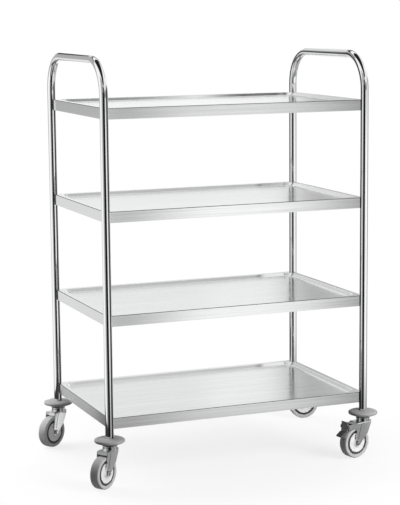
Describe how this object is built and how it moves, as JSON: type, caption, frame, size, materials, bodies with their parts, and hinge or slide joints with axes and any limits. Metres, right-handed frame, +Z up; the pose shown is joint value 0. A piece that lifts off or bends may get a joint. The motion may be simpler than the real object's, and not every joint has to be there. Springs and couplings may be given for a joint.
{
  "type": "serving trolley",
  "caption": "Tall shelved serving trolley: inverted-U tube end frames with handle bars carry pressed tray shelves and stand on bumpered swivel casters, some with foot brakes.",
  "frame": {"origin": "on the floor, below the centre of the rectangle of post axes", "axes": "+X along the shelves' length, towards the braked end; +Y from the front to the back; +Z up"},
  "size_m": [1.0063, 0.6149, 1.2535],
  "materials": {
    "polished_tube": "mirror-polished stainless steel tube",
    "brushed_sheet": "satin brushed stainless steel sheet, grain along the length",
    "zinc_steel": "bright zinc-plated steel",
    "dark_steel": "dull dark plated steel",
    "ball_steel": "ground bearing steel",
    "bumper_grey": "matte grey moulded plastic",
    "plug_plastic": "black moulded plastic",
    "tyre_grey": "non-marking light grey rubber",
    "hub_plastic": "dark grey moulded plastic",
    "guard_plastic": "pale grey moulded plastic",
    "pedal_plastic": "dark grey moulded plastic"
  },
  "bodies": {
    "frame": {"left_frame_tube": "polished_tube", "right_frame_tube": "polished_tube", "tube_plugs": "plug_plastic", "bumpers": "bumper_grey", "stems": "zinc_steel", "swivel_cups": "zinc_steel", "ball_rings": "ball_steel", "bottom_shelf": "brushed_sheet", "lower_shelf": "brushed_sheet", "upper_shelf": "brushed_sheet", "top_shelf": "brushed_sheet"},
    "front_left_caster": {"front_left_fork": "zinc_steel", "front_left_axle_bolt": "zinc_steel", "front_left_axle_nut": "dark_steel", "front_left_axle_sleeve": "zinc_steel", "front_left_head_side_guard": "guard_plastic", "front_left_nut_side_guard": "guard_plastic"},
    "front_left_wheel": {"front_left_hub": "hub_plastic", "front_left_tyre": "tyre_grey"},
    "front_right_caster": {"front_right_fork": "zinc_steel", "front_right_axle_bolt": "zinc_steel", "front_right_axle_nut": "dark_steel", "front_right_axle_sleeve": "zinc_steel", "front_right_head_side_guard": "guard_plastic", "front_right_nut_side_guard": "guard_plastic", "front_right_brake_pin": "zinc_steel"},
    "front_right_wheel": {"front_right_hub": "hub_plastic", "front_right_tyre": "tyre_grey"},
    "front_right_brake": {"front_right_brake_lever": "zinc_steel", "front_right_brake_pedal": "pedal_plastic"},
    "back_left_caster": {"back_left_fork": "zinc_steel", "back_left_axle_bolt": "zinc_steel", "back_left_axle_nut": "dark_steel", "back_left_axle_sleeve": "zinc_steel", "back_left_head_side_guard": "guard_plastic", "back_left_nut_side_guard": "guard_plastic"},
    "back_left_wheel": {"back_left_hub": "hub_plastic", "back_left_tyre": "tyre_grey"},
    "back_right_caster": {"back_right_fork": "zinc_steel", "back_right_axle_bolt": "zinc_steel", "back_right_axle_nut": "dark_steel", "back_right_axle_sleeve": "zinc_steel", "back_right_head_side_guard": "guard_plastic", "back_right_nut_side_guard": "guard_plastic", "back_right_brake_pin": "zinc_steel"},
    "back_right_wheel": {"back_right_hub": "hub_plastic", "back_right_tyre": "tyre_grey"},
    "back_right_brake": {"back_right_brake_lever": "zinc_steel", "back_right_brake_pedal": "pedal_plastic"}
  },
  "joints": [
    {"name": "front_left_swivel", "type": "hinge", "parent": "frame", "child": "front_left_caster", "pos_m": [-0.415, -0.255, 0.1199], "axis": [0, 0, 1], "continuous": true},
    {"name": "front_left_wheel_spin", "type": "hinge", "parent": "front_left_caster", "child": "front_left_wheel", "pos_m": [-0.4431, -0.27587, 0.049], "axis": [-0.5962, 0.8028, 0], "continuous": true},
    {"name": "front_right_swivel", "type": "hinge", "parent": "frame", "child": "front_right_caster", "pos_m": [0.415, -0.255, 0.1199], "axis": [0, 0, 1], "continuous": true},
    {"name": "front_right_wheel_spin", "type": "hinge", "parent": "front_right_caster", "child": "front_right_wheel", "pos_m": [0.38116, -0.26394, 0.049], "axis": [-0.2554, 0.9668, 0], "continuous": true},
    {"name": "front_right_brake_lock", "type": "hinge", "parent": "front_right_caster", "child": "front_right_brake", "pos_m": [0.34926, -0.27237, 0.1015], "axis": [0.2554, -0.9668, 0], "range_deg": [0, 8]},
    {"name": "back_left_swivel", "type": "hinge", "parent": "frame", "child": "back_left_caster", "pos_m": [-0.415, 0.255, 0.1199], "axis": [0, 0, 1], "continuous": true},
    {"name": "back_left_wheel_spin", "type": "hinge", "parent": "back_left_caster", "child": "back_left_wheel", "pos_m": [-0.44458, 0.2363, 0.049], "axis": [-0.5344, 0.8453, 0], "continuous": true},
    {"name": "back_right_swivel", "type": "hinge", "parent": "frame", "child": "back_right_caster", "pos_m": [0.415, 0.255, 0.1199], "axis": [0, 0, 1], "continuous": true},
    {"name": "back_right_wheel_spin", "type": "hinge", "parent": "back_right_caster", "child": "back_right_wheel", "pos_m": [0.44961, 0.24977, 0.049], "axis": [-0.1495, -0.9888, 0], "continuous": true},
    {"name": "back_right_brake_lock", "type": "hinge", "parent": "back_right_caster", "child": "back_right_brake", "pos_m": [0.48224, 0.24483, 0.1015], "axis": [0.1495, 0.9888, 0], "range_deg": [0, 8]}
  ]
}
